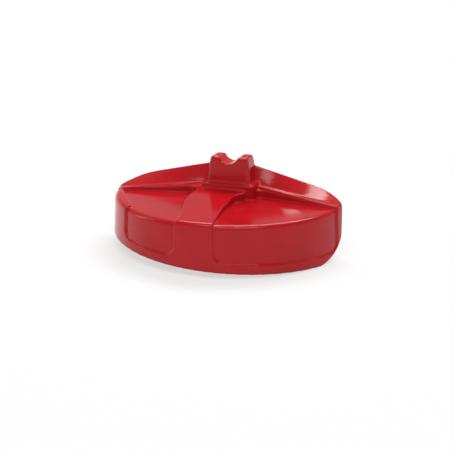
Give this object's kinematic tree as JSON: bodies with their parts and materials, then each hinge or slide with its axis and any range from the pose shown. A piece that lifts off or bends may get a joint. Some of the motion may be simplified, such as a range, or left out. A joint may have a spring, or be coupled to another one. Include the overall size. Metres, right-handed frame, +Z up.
{
  "type": "trimmer blade guard",
  "caption": "Half-round moulded plastic guard for a trimmer or brush cutter, with sunk panels, a raised rear rim and a saddle that clamps to the tube.",
  "frame": {"origin": "axis of the tube that the guard is clamped to, half way along the saddle", "axes": "+Y along the tube towards the blade, +X to the right of the user, +Z up"},
  "size_m": [0.318, 0.164, 0.1184],
  "materials": {
    "red_plastic": "glossy moulded"
  },
  "bodies": {
    "root": {"blade_guard": "red_plastic"}
  },
  "joints": []
}
